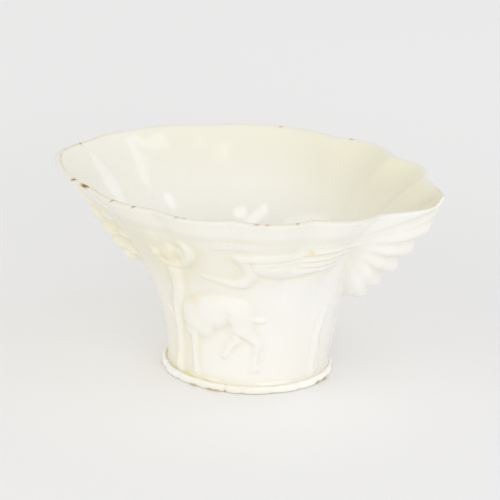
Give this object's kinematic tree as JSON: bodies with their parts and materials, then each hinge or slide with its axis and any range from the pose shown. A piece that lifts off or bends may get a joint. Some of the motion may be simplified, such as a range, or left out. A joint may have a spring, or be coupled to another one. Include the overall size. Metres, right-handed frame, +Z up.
{
  "type": "porcelain libation cup",
  "caption": "White glazed porcelain libation cup of horn form: flared leaf-shaped lobed mouth on an oval stem and scalloped foot, with deer, pine and crane in relief.",
  "frame": {"origin": "centre of the foot, on the surface that the cup stands on", "axes": "+X along the mouth's length to the fluted end, -X the pouring lip, -Y the side with the deer, +Z up"},
  "size_m": [0.1261, 0.0919, 0.0652],
  "materials": {
    "glazed_wall": "glossy ivory-white glaze",
    "glazed_foot": "glossy ivory-white glaze, bare underneath",
    "glazed_relief": "glossy ivory-white glaze over low relief"
  },
  "bodies": {
    "root": {"cup_body": "glazed_wall", "foot_plate": "glazed_foot", "shell_end": "glazed_relief", "lip_branch": "glazed_relief", "deer": "glazed_relief", "pine_trunk": "glazed_relief", "pine_crown": "glazed_relief", "crane": "glazed_relief", "crane_wing": "glazed_relief", "needle_spray": "glazed_relief", "prunus_trunk": "glazed_relief", "tiger": "glazed_relief", "dragon": "glazed_relief", "far_trunk": "glazed_relief"}
  },
  "joints": []
}
